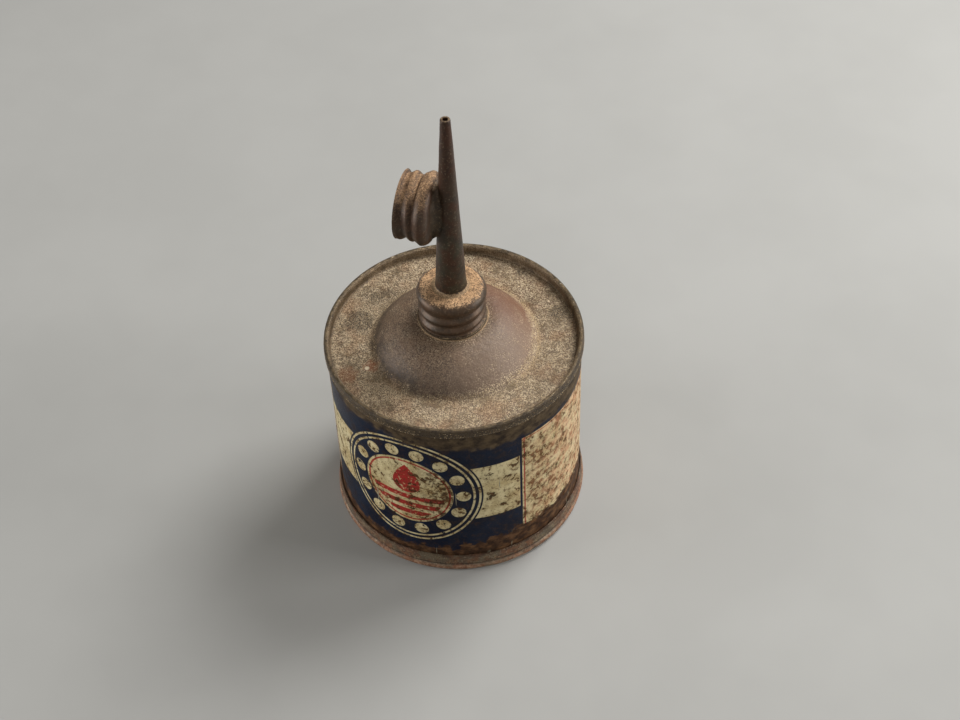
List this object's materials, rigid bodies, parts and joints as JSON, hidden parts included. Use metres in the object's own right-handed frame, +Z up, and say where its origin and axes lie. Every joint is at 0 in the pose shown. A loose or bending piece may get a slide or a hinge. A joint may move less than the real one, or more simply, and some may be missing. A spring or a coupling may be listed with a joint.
{
  "type": "oil can",
  "caption": "Round printed tinplate oil can with a domed top, a screw-on tapered spout, a closing cap carried on the spout's side and a thumb-sprung bottom.",
  "frame": {"origin": "on the can's axis, on the plane that the bottom seam stands on", "axes": "+Z up along the can's axis to the spout; -X towards the closing cap on the spout's side; +Y towards the body's side seam"},
  "size_m": [0.0774, 0.0774, 0.1448],
  "materials": {
    "litho_tinplate": "offset-printed enamel on tinplate, deep blue and cream with red lines, faded, speckled and rusted at the seams",
    "side_seam_solder": "lacquered soft solder, worn and stained",
    "bare_tinplate": "bare tinplate gone brown, with rust and baked-on dust",
    "dark_tinplate": "bare tinplate, oiled dark, with rust blooms",
    "soft_solder": "dull grey soft solder, stained brown",
    "seam_compound": "dried rubber sealing compound",
    "cork": "oil-soaked cork, matte"
  },
  "bodies": {
    "root": {"body_shell": "litho_tinplate", "side_seam_solder": "side_seam_solder", "top_seam_sealant": "seam_compound", "bottom_seam_sealant": "seam_compound", "top_end": "bare_tinplate", "bottom_end": "bare_tinplate", "neck": "dark_tinplate", "neck_solder": "soft_solder"},
    "gasket": {"spout_gasket": "cork"},
    "spout": {"spout_cap": "dark_tinplate", "spout_foot_solder": "soft_solder", "spout_tube": "dark_tinplate", "spout_seam_solder": "soft_solder", "storage_cap": "dark_tinplate", "storage_cap_liner": "cork", "storage_cap_solder_front": "soft_solder", "storage_cap_solder_back": "soft_solder"},
    "bottom": {"bottom_disc": "bare_tinplate"}
  },
  "joints": [
    {"name": "spout_rise", "type": "slide", "parent": "root", "child": "gasket", "axis": [0, 0, 1], "range_m": [0, 0.01081]},
    {"name": "spout_unscrew", "type": "hinge", "parent": "gasket", "child": "spout", "pos_m": [0, 0, 0.0725], "axis": [0, 0, 1], "range_deg": [0, 1080]},
    {"name": "bottom_press", "type": "slide", "parent": "root", "child": "bottom", "axis": [0, 0, 1], "range_m": [0, 0.0025], "stiffness_N_per_m": 4000}
  ],
  "couplings": [
    {"joint": "spout_rise", "follows": "spout_unscrew", "m_per_rad": 0.00057296}
  ]
}
